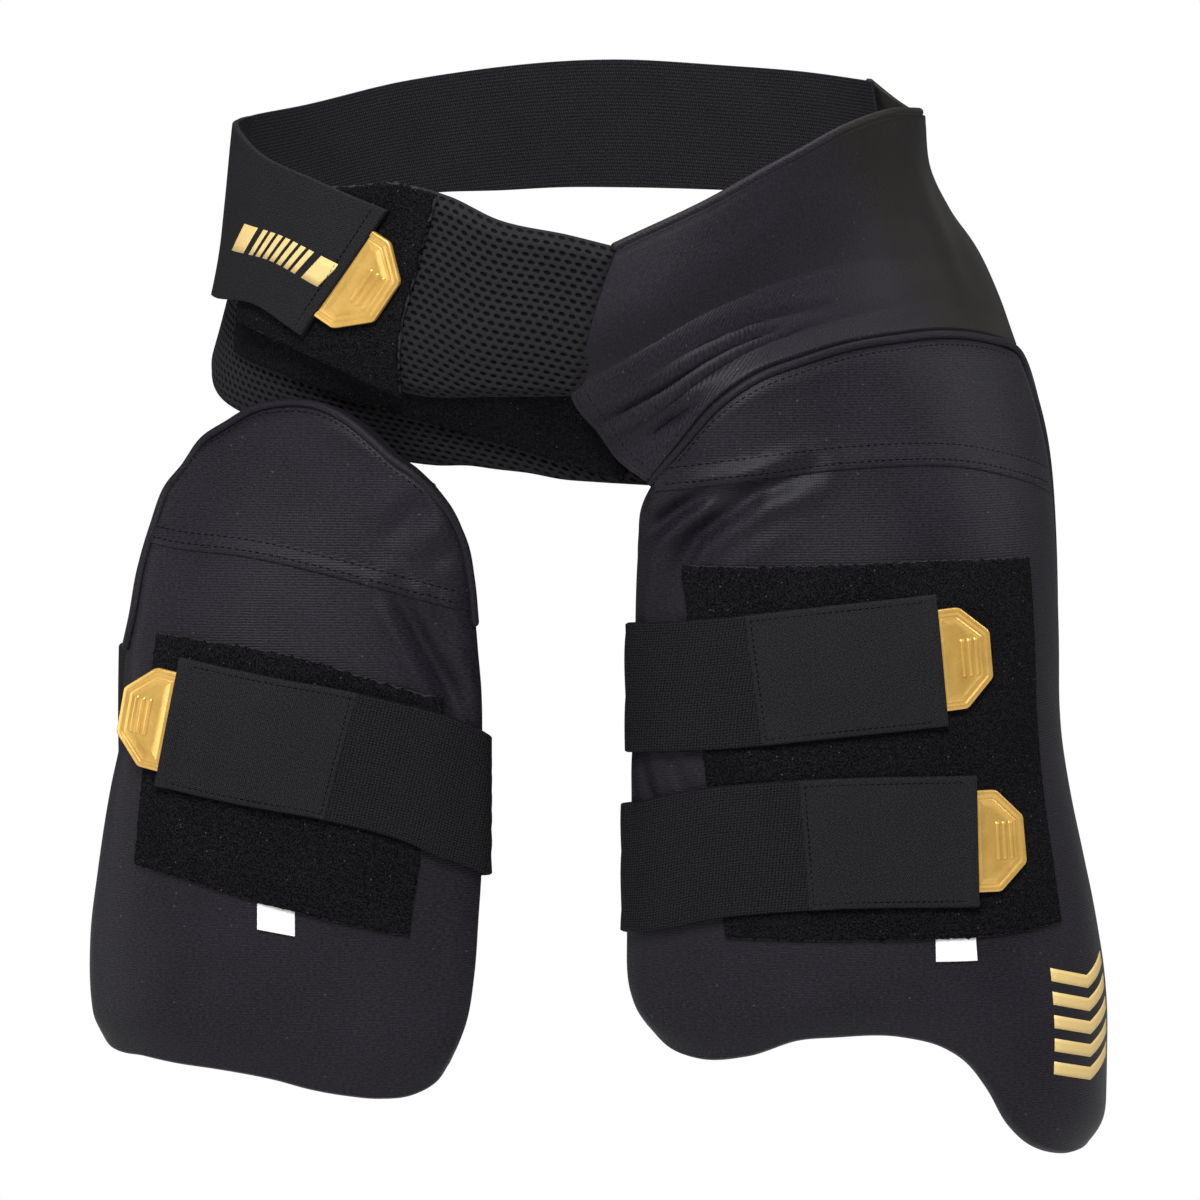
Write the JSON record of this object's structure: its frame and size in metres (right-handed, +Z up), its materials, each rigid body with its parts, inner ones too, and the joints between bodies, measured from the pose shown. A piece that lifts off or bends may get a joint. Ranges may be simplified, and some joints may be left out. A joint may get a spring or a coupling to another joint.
{
  "type": "cricket thigh guard with waist belt, outer and inner thigh pads",
  "caption": "Worn lower-body batting guard: a waist belt with a padded hip panel and outer thigh pad on one leg and an inner thigh pad on the other, held by hook-and-loop straps.",
  "frame": {"origin": "middle of the waist loop, where the guard sits on the wearer", "axes": "+Z up along the body, -Y the wearer's front, +X the wearer's left, the side of the outer thigh pad"},
  "size_m": [0.4404, 0.2417, 0.4751],
  "materials": {
    "knit": "smooth black stretch knit with fine cross ribs and a soft sheen",
    "loop_pile": "black brushed loop pile with a paler cut edge",
    "elastic": "black woven elastic with a fine grid of ribs",
    "facing": "black plain-woven tape, stitched round its edge",
    "spacer_mesh": "black spacer mesh with staggered oval holes",
    "gold_tab": "moulded gold rubbery plastic with a raised rim",
    "label": "plain white woven label"
  },
  "bodies": {
    "root": {"outer_thigh_pad": "knit", "inner_thigh_pad": "knit", "outer_piping": "knit", "inner_piping": "knit", "outer_pocket_hem": "knit", "inner_pocket_hem": "knit", "outer_loop_patch": "loop_pile", "inner_loop_patch": "loop_pile", "outer_label": "label", "inner_label": "label", "outer_strap_upper": "elastic", "outer_strap_upper_end": "facing", "outer_strap_lower": "elastic", "outer_strap_lower_end": "facing", "inner_strap": "elastic", "inner_strap_end": "facing", "outer_tab_upper": "gold_tab", "outer_tab_lower": "gold_tab", "inner_tab": "gold_tab", "lower_band_mesh": "spacer_mesh", "lower_band_loop_strip": "loop_pile", "belt_tongue_mesh": "spacer_mesh", "tongue_loop_patch": "loop_pile", "waist_elastic": "elastic", "waist_strap_end": "facing", "waist_pull_tab": "gold_tab", "hip_panel": "knit", "hip_hem": "knit"}
  },
  "joints": []
}
